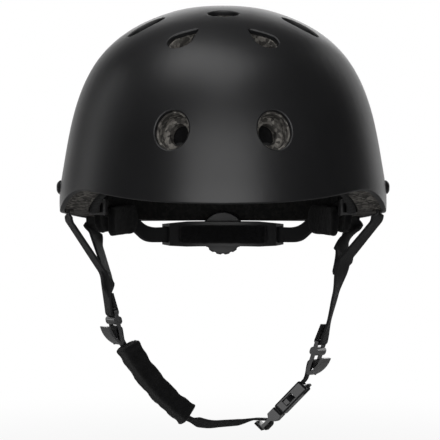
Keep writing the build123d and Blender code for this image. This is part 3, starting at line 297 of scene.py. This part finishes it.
def webbing_finish():
    """Woven band: fine ribs across, split by warp lines along it, read from its own coordinates, with painted
    shade in its grooves.
    """
    warp_pitch = 0.0011
    rib_pitch = 0.0013
    rib_share = 0.3
    full_turn = 2 * math.pi
    s = Shader(
        "webbing", colour=(0.009, 0.009, 0.01), roughness=0.7,
        Specular_IOR_Level=0.3, Sheen_Weight=0.05, Sheen_Roughness=0.5,
    )
    place = s.node("ShaderNodeUVMap", {}).outputs[0]
    split = s.node("ShaderNodeSeparateXYZ", {0: place})
    along = split.outputs[0]
    across = split.outputs[1]
    column = s.math("FLOOR", s.math("MULTIPLY", across, 1 / warp_pitch))
    slant = s.math("MULTIPLY", s.math("PINGPONG", column, 1.0), math.pi)
    rib = s.math("SINE", s.math("ADD", s.math("MULTIPLY", along, full_turn / rib_pitch), slant))
    warp = s.math("ABSOLUTE", s.math("SINE", s.math("MULTIPLY", across, math.pi / warp_pitch)))
    height = s.math("ADD", s.math("MULTIPLY", rib, rib_share), warp)
    yarn = s.noise(scale=5000, detail=2)
    # painted shade: the weave's grooves and warp lines are coloured darker, following the bump height
    tone = s.ramp(height, low=(0.003, 0.003, 0.0035), high=(0.0115, 0.0115, 0.0125), stops=(0.1, 1.0))
    weave = s.bump(height, distance=0.00018, strength=0.8)
    return s.finish(tone, None, s.bump(yarn, distance=0.00005, strength=0.5, after=weave))


def fleece_finish():
    """Brushed knit of the pads: a soft nap of fine fibres with small pills."""
    s = Shader(
        "brushed_knit", colour=(0.006, 0.006, 0.0065), roughness=0.95,
        Specular_IOR_Level=0.15, Sheen_Weight=0.08, Sheen_Roughness=0.6,
    )
    fibres = s.noise(scale=2400, detail=6)
    clumps = s.noise(scale=380, detail=5)
    mixed = s.blended(fibres, clumps, second_share=0.5)
    tone = s.ramp(mixed, low=(0.0008, 0.0008, 0.0009), high=(0.007, 0.007, 0.0077), stops=(0.35, 0.68))
    nap = s.bump(clumps, distance=0.0008, strength=0.8)
    return s.finish(tone, None, s.bump(fibres, distance=0.0003, strength=0.9, after=nap))


def steel_finish(name, colour):
    """Plated or blackened steel with faint brushing."""
    s = Shader(name, colour, roughness=0.35, Metallic=1.0)
    lines = s.noise(scale=800, detail=4)
    rough = s.range(lines, low=0.28, high=0.45)
    return s.finish(None, rough, s.bump(lines, distance=0.00002, strength=0.4))


satin_grain = 0.00004
shell_material = shell_finish()
foam_material = foam_finish()
webbing_material = webbing_finish()
fleece_material = fleece_finish()
buckle_material = plastic_finish("buckle_plastic", (0.009, 0.009, 0.01), 0.24)
satin_material = plastic_finish("satin_plastic", (0.009, 0.009, 0.01), 0.42, satin_grain)
anchor_material = plastic_finish("anchor_plastic", (0.018, 0.018, 0.018), 0.5, satin_grain)
rivet_material = plastic_finish("rivet_plastic", (0.009, 0.009, 0.0095), 0.32)
steel_material = steel_finish("plated_steel", (0.5, 0.5, 0.51))
pin_material = steel_finish("blackened_steel", (0.05, 0.05, 0.05))

finished_nodes = [
    (shell_material, ["outer_shell"]),
    (foam_material, ["eps_liner"]),
    (rivet_material, ["strap_rivets"]),
    (steel_material, ["rivet_washers", "dial_screw"]),
    (pin_material, ["anchor_pins"]),
    (buckle_material, ["strap_adjuster_left", "strap_adjuster_right", "buckle_socket", "buckle_plug"]),
    (buckle_material, ["release_arm_front", "release_arm_rear"]),
    (satin_material, ["band_arm_left", "band_arm_right", "hook_dots"]),
    (satin_material, ["dial_housing", "housing_cover", "dial_pinion", "dial_knob"]),
    (anchor_material, ["band_anchor_left", "band_anchor_right"]),
]
for finish, node_names in finished_nodes:
    for node_name in node_names:
        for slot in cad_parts[node_name].material_slots:
            slot.material = finish


# Webbing

webbing_width = 0.016
webbing_thickness = 0.0016
arc_step = math.radians(6)
arc_reach = 0.0025
run_reach = 0.002


def squared(direction, tangent):
    """A direction made square to a tangent."""
    return (direction - tangent * direction.dot(tangent)).normalized()


def stations(route):
    """Places, tangents and across directions along corners rounded by arcs."""
    places = [Vector(corner) for corner, _, _ in route]
    across = [Vector(direction) for _, _, direction in route]
    first = (places[1] - places[0]).normalized()
    found = [(places[0], first, squared(across[0], first))]
    for index in range(1, len(route) - 1):
        arrive = (places[index] - places[index - 1]).normalized()
        leave = (places[index + 1] - places[index]).normalized()
        turn = arrive.angle(leave)
        radius = route[index][1]
        inward = squared(leave, arrive)
        centre = places[index] - arrive * (radius * math.tan(turn / 2)) + inward * radius
        count = max(1, math.ceil(turn / arc_step), math.ceil(turn * radius / arc_reach))
        for part in range(count + 1):
            angle = turn * part / count
            place = centre - inward * (radius * math.cos(angle)) + arrive * (radius * math.sin(angle))
            tangent = arrive * math.cos(angle) + inward * math.sin(angle)
            found.append((place, tangent, squared(across[index], tangent)))
    last = (places[-1] - places[-2]).normalized()
    found.append((places[-1], last, squared(across[-1], last)))
    return found


def filled(found, reach):
    """Stations with extra ones on the straight runs."""
    coincident = 1e-6
    dense = [found[0]]
    for before, after in zip(found, found[1:]):
        length = (after[0] - before[0]).length
        count = math.ceil(length / reach)
        for part in range(1, count):
            share = part / count
            smooth = share * share * (3 - 2 * share)
            tangent = before[1].lerp(after[1], share).normalized()
            across = squared(before[2].lerp(after[2], smooth), tangent)
            dense.append((before[0].lerp(after[0], share), tangent, across))
        if length > coincident:
            dense.append(after)
    return dense


def turned(found, turns):
    """Stations past the first listed x turned to the listed across directions."""
    beyond = (1.0, turns[-1][1])
    result = []
    for place, tangent, across in found:
        for before, after in zip(turns, turns[1:] + [beyond]):
            if before[0] <= place.x < after[0]:
                share = (place.x - before[0]) / (after[0] - before[0])
                across = squared(Vector(before[1]).lerp(Vector(after[1]), share), tangent)
        result.append((place, tangent, across))
    return result


def distances(found):
    """How far along the line each station lies."""
    travelled = [0.0]
    for before, after in zip(found, found[1:]):
        travelled.append(travelled[-1] + (after[0] - before[0]).length)
    return travelled


def band_profile():
    """Raised selvages and a flat face, as (across, out) places."""
    face_shares = (-0.9, -0.72, -0.5, -0.25, 0.0, 0.25, 0.5, 0.72, 0.9)
    selvage_share = 0.8
    face_rise_share = 0.93
    edge_rise_share = 0.55
    half = webbing_width / 2
    rise = webbing_thickness / 2
    points = []
    for sign in (1, -1):
        for share in face_shares:
            rise_share = face_rise_share if abs(share) < selvage_share else 1.0
            points.append((sign * share * half, sign * rise * rise_share))
        points.append((sign * half, sign * rise * edge_rise_share))
        points.append((sign * half, -sign * rise * edge_rise_share))
    return points


def band_mesh(name, found):
    """Webbing along stations, with coordinates in metres along and across it."""
    profile = band_profile()
    count = len(profile)
    travelled = distances(found)
    girth = [0.0]
    for index in range(count):
        edge = Vector(profile[(index + 1) % count]) - Vector(profile[index])
        girth.append(girth[-1] + edge.length)
    mesh = bmesh.new()
    layer = mesh.loops.layers.uv.new("weave")
    rings = []
    for place, tangent, across in found:
        out = across.cross(tangent)
        rings.append([mesh.verts.new(place + across * side + out * rise) for side, rise in profile])
    for index in range(len(rings) - 1):
        near = rings[index]
        far = rings[index + 1]
        for side in range(count):
            following = (side + 1) % count
            face = mesh.faces.new((near[side], near[following], far[following], far[side]))
            face.smooth = True
            values = [
                (travelled[index], girth[side]), (travelled[index], girth[side + 1]),
                (travelled[index + 1], girth[side + 1]), (travelled[index + 1], girth[side]),
            ]
            for loop, value in zip(face.loops, values):
                loop[layer].uv = value
    for ring in (rings[0], rings[-1]):
        face = mesh.faces.new(ring)
        for loop in face.loops:
            loop[layer].uv = (0, 0)
    bmesh.ops.recalc_face_normals(mesh, faces=mesh.faces)
    data = bpy.data.meshes.new(name)
    mesh.to_mesh(data)
    mesh.free()
    piece = bpy.data.objects.new(name, data)
    bpy.context.scene.collection.objects.link(piece)
    piece.data.materials.append(webbing_material)
    return piece


# Routes of the straps: corner, radius of its arc, direction across the webbing

brim_bend = 0.007
adjuster_bend = 0.012
fold = 0.00207
sleeve_bend = 0.13402
chin_bend = 0.026
plug_fold = 0.0022
slot_fold = 0.00202

right_adjuster_lie = (0.3023, -0.9511, 0.0642)
left_adjuster_lie = (-0.2955, -0.9511, 0.0903)
sleeve_lie = (0.2318, -0.9511, 0.2043)
sleeve_end_lie = (0.1854, -0.9511, 0.2472)
buckle_lie = (-0.1531, -0.9818, 0.112)
rear_right_rivet_lie = (-0.397, -0.9178, 0)
rear_left_rivet_lie = (0.397, -0.9178, 0)

strap_routes = {
    "front_strap_right": [
        ((-0.10108, -0.01161, -0.01061), 0, (0.0722, -0.9974, 0)),
        ((-0.10108, -0.01161, -0.01561), brim_bend, (0.33, -0.944, 0)),
        ((-0.0786, 0.006, -0.0525), adjuster_bend, (0.37, -0.929, 0)),
        ((-0.0754, 0.0052, -0.08), fold, right_adjuster_lie),
        ((-0.0712, 0.0066, -0.0791), fold, right_adjuster_lie),
        ((-0.07526, 0.00636, -0.06486), 0, right_adjuster_lie),
    ],
    "rear_strap_right": [
        ((-0.08993, 0.05986, -0.01877), 0, rear_right_rivet_lie),
        ((-0.08993, 0.05986, -0.02377), brim_bend, rear_right_rivet_lie),
        ((-0.0862, 0.0447, -0.0319), 0, (-0.53, -0.49, 0.69)),
        ((-0.0769, 0.00655, -0.05232), adjuster_bend, (-0.42, -0.7, 0.58)),
        ((-0.0752, 0.00616, -0.0672), 0, (0, -1, 0)),
    ],
    "front_strap_left": [
        ((0.10108, -0.01161, -0.01021), 0, (-0.0722, -0.9974, 0)),
        ((0.10108, -0.01161, -0.01521), brim_bend, (-0.54, -0.842, 0)),
        ((0.08, 0.006, -0.0435), adjuster_bend, (-0.6, -0.8, 0)),
        ((0.0746, 0.00573, -0.0658), 0, (-0.26, -0.966, 0)),
        ((0.0706, 0.00552, -0.0825), 0, (-0.16, -0.987, 0)),
        ((0.06655, 0.00532, -0.09925), fold, left_adjuster_lie),
        ((0.06254, 0.00668, -0.09803), fold, left_adjuster_lie),
        ((0.06736, 0.00636, -0.0857), 0, left_adjuster_lie),
    ],
    "rear_strap_left": [
        ((0.08993, 0.05986, -0.01837), 0, rear_left_rivet_lie),
        ((0.08993, 0.05986, -0.02337), brim_bend, rear_left_rivet_lie),
        ((0.07833, 0.00656, -0.0431), adjuster_bend, (-0.52, -0.854, 0)),
        ((0.07599, 0.00644, -0.05283), 0, (-0.4, -0.917, 0)),
    ],
    "chin_strap": [
        ((-0.07224, 0.00532, -0.09437), 0, right_adjuster_lie),
        ((-0.0737, 0.0051, -0.0876), fold, right_adjuster_lie),
        ((-0.0696, 0.0065, -0.0867), fold, right_adjuster_lie),
        ((-0.06748, 0.006, -0.09689), 0.008, sleeve_lie),
        ((-0.049, 0.006, -0.12938), sleeve_bend, sleeve_lie),
        ((-0.0215, 0.006, -0.15), chin_bend, sleeve_end_lie),
        ((-0.009, 0.006, -0.1525), chin_bend, buckle_lie),
        ((0.012, 0.006, -0.151), chin_bend, buckle_lie),
        ((0.02132, 0.00791, -0.14904), 0.01, buckle_lie),
        ((0.03499, 0.00576, -0.14926), plug_fold, buckle_lie),
        ((0.02883, 0.00598, -0.15569), 0, buckle_lie),
    ],
    "buckle_strap": [
        ((0.06178, 0.00532, -0.11484), 0, left_adjuster_lie),
        ((0.06312, 0.00532, -0.11044), fold, left_adjuster_lie),
        ((0.05912, 0.00668, -0.10922), fold, left_adjuster_lie),
        ((0.05521, 0.00668, -0.12201), 0.008, buckle_lie),
        ((0.05084, 0.00587, -0.12656), slot_fold, buckle_lie),
        ((0.05388, 0.00506, -0.1295), slot_fold, buckle_lie),
        ((0.05765, 0.00493, -0.12557), 0, buckle_lie),
    ],
}
chin_turns = [
    # x under the chin, direction across the webbing there
    (-0.0205, sleeve_end_lie), (-0.0165, (0.1, -0.86, 0.5)), (-0.004, (0.02, -0.93, 0.37)),
    (0.01, (-0.05, -0.94, 0.33)), (0.019, buckle_lie),
]
strap_bodies = {
    "chin_strap": "right_straps", "front_strap_left": "helmet", "rear_strap_left": "helmet",
    "buckle_strap": "helmet",
}
front_tab_rise = 0.0222
rear_tab_rise = 0.0223
tab_rises = {
    "front_strap_left": front_tab_rise, "front_strap_right": front_tab_rise,
    "rear_strap_left": rear_tab_rise, "rear_strap_right": rear_tab_rise,
}

for strap_name, route in strap_routes.items():
    foot = Vector(route[0][0])
    if strap_name in tab_rises:
        top = foot + Vector((0, 0, tab_rises[strap_name]))
        route = [(tuple(top), 0, route[0][2]), (tuple(foot), 0, route[0][2])] + route[1:]
    line = filled(stations(route), run_reach)
    if strap_name == "chin_strap":
        line = turned(line, chin_turns)
    piece = band_mesh(strap_name + "_webbing", line)
    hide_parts(strap_name)
    if strap_name in strap_bodies:
        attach(piece, strap_bodies[strap_name])
    else:
        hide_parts(strap_name.replace("_right", "_tab_right"))
        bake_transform(piece)


# Pads

pad_voxel = 0.0012
pad_rounding = 5
band_pad_rounding = 9
nap_height = 0.00045
nap_waves = ((160, 0.6), (420, 0.4))

sleeve_from = 0.02172
sleeve_to = 0.08353
sleeve_seams = 3
sleeve_step = 0.0008
sleeve_margin = 0.004
sleeve_outside = Vector((-0.75, 0, -0.66))
bore_half_width = 0.0088
bore_half_thickness = 0.0019
seam_depth_share = 0.11
seam_width = 0.0012
swell = 0.0042
swell_wall = 0.0012
stretch = 0.004
stretch_length = 0.02


def shape_sleeve(data):
    """Draw the sleeve in at its outer seams, fill it out on its inner side and reach up the strap."""
    line = filled(stations(strap_routes["chin_strap"]), sleeve_step)
    travelled = distances(line)
    gap = (sleeve_to - sleeve_from) / (sleeve_seams + 1)
    seams = [sleeve_from + gap * (index + 1) for index in range(sleeve_seams)]
    first = sleeve_from - sleeve_margin
    last = sleeve_to + sleeve_margin
    kept = [index for index, far in enumerate(travelled) if first < far < last]
    for vertex in data.vertices:
        index = min(kept, key=lambda k: (line[k][0] - vertex.co).length_squared)
        place, tangent, across = line[index]
        offset = vertex.co - place
        offset -= tangent * offset.dot(tangent)
        side = offset.dot(across)
        if abs(side) < bore_half_width and (offset - across * side).length < bore_half_thickness:
            continue
        near = min(abs(travelled[index] - seam) for seam in seams)
        outside = max(0.0, offset.normalized().dot(sleeve_outside))
        vertex.co -= offset * (seam_depth_share * outside * math.exp(-(near / seam_width) ** 2))
        inward = squared(-sleeve_outside, tangent)
        inward = (inward - across * inward.dot(across)).normalized()
        full = min(1.0, max(0.0, (offset.dot(inward) - bore_half_thickness) / swell_wall))
        vertex.co += inward * (swell * full)
        early = max(0.0, 1 - (travelled[index] - sleeve_from) / stretch_length)
        vertex.co -= tangent * (stretch * min(1.0, early))


def pad_copy(node, body, rounding):
    """Soft piece grown from a CAD pad: remeshed, smoothed and given an uneven nap."""
    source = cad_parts[node]
    piece = bpy.data.objects.new(node + "_soft", source.data.copy())
    bpy.context.scene.collection.objects.link(piece)
    remesh = piece.modifiers.new("remesh", "REMESH")
    remesh.mode = "VOXEL"
    remesh.voxel_size = pad_voxel
    relax = piece.modifiers.new("relax", "SMOOTH")
    relax.factor = 0.5
    relax.iterations = rounding
    depsgraph = bpy.context.evaluated_depsgraph_get()
    data = bpy.data.meshes.new_from_object(piece.evaluated_get(depsgraph))
    piece.modifiers.clear()
    piece.data = data
    if node == "chin_pad":
        shape_sleeve(data)
    for vertex in data.vertices:
        wave = sum(noise.noise(vertex.co * scale) * share for scale, share in nap_waves)
        vertex.co += vertex.normal * (wave * nap_height)
    data.materials.clear()
    data.materials.append(fleece_material)
    data.polygons.foreach_set("use_smooth", [True] * len(data.polygons))
    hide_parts(node)
    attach(piece, body)


pad_bodies = {
    "front_pad": "helmet", "crown_pad": "helmet", "rear_pad": "helmet",
    "side_pad_left": "helmet", "side_pad_right": "helmet",
    "ear_pad_left": "helmet", "ear_pad_right": "helmet",
    "arm_pad_left": "left_arm", "arm_pad_right": "right_arm", "nape_pad": "dial_case",
    "chin_pad": "right_straps",
}
band_pads = ("arm_pad_left", "arm_pad_right", "nape_pad")
for pad_name, pad_body in pad_bodies.items():
    pad_copy(pad_name, pad_body, band_pad_rounding if pad_name in band_pads else pad_rounding)


# Floor

floor_half = 4.0
floor_height = -0.2
paper_colour = (0.4, 0.4, 0.4)
paper_roughness = 0.95
paper_gloss = 0.1
paper_gloss_behind = (0.5, 1.2)
shadow_reach = (0.25, 0.6)
shadow_glow = (0.9, 1.0)


def add_floor():
    """Pale paper under the strap, white to the eye but for a soft shadow near the object."""
    data = bpy.data.meshes.new("floor")
    sides = ((-1, -1), (1, -1), (1, 1), (-1, 1))
    corners = [(x * floor_half, y * floor_half, floor_height) for x, y in sides]
    data.from_pydata(corners, [], [(0, 1, 2, 3)])
    floor = bpy.data.objects.new("floor", data)
    bpy.context.scene.collection.objects.link(floor)
    material = bpy.data.materials.new("paper")
    material.use_nodes = True
    tree = material.node_tree
    base = tree.nodes["Principled BSDF"]
    base.inputs["Base Color"].default_value = (*paper_colour, 1)
    base.inputs["Roughness"].default_value = paper_roughness
    base.inputs["Specular IOR Level"].default_value = paper_gloss
    place = tree.nodes.new("ShaderNodeTexCoord").outputs["Object"]
    split = tree.nodes.new("ShaderNodeSeparateXYZ")
    tree.links.new(place, split.inputs[0])
    away = tree.nodes.new("ShaderNodeVectorMath")
    away.operation = "LENGTH"
    tree.links.new(place, away.inputs[0])
    seen = paper_share(tree, eased(tree, split.outputs["Y"], paper_gloss_behind))
    open_paper = eased(tree, away.outputs["Value"], shadow_reach, shadow_glow)
    glow = tree.nodes.new("ShaderNodeEmission")
    mix = tree.nodes.new("ShaderNodeMixShader")
    tree.links.new(joined(tree, "MULTIPLY", seen, open_paper), mix.inputs["Fac"])
    tree.links.new(base.outputs[0], mix.inputs[1])
    tree.links.new(glow.outputs[0], mix.inputs[2])
    tree.links.new(mix.outputs[0], tree.nodes["Material Output"].inputs["Surface"])
    data.materials.append(material)


add_floor()
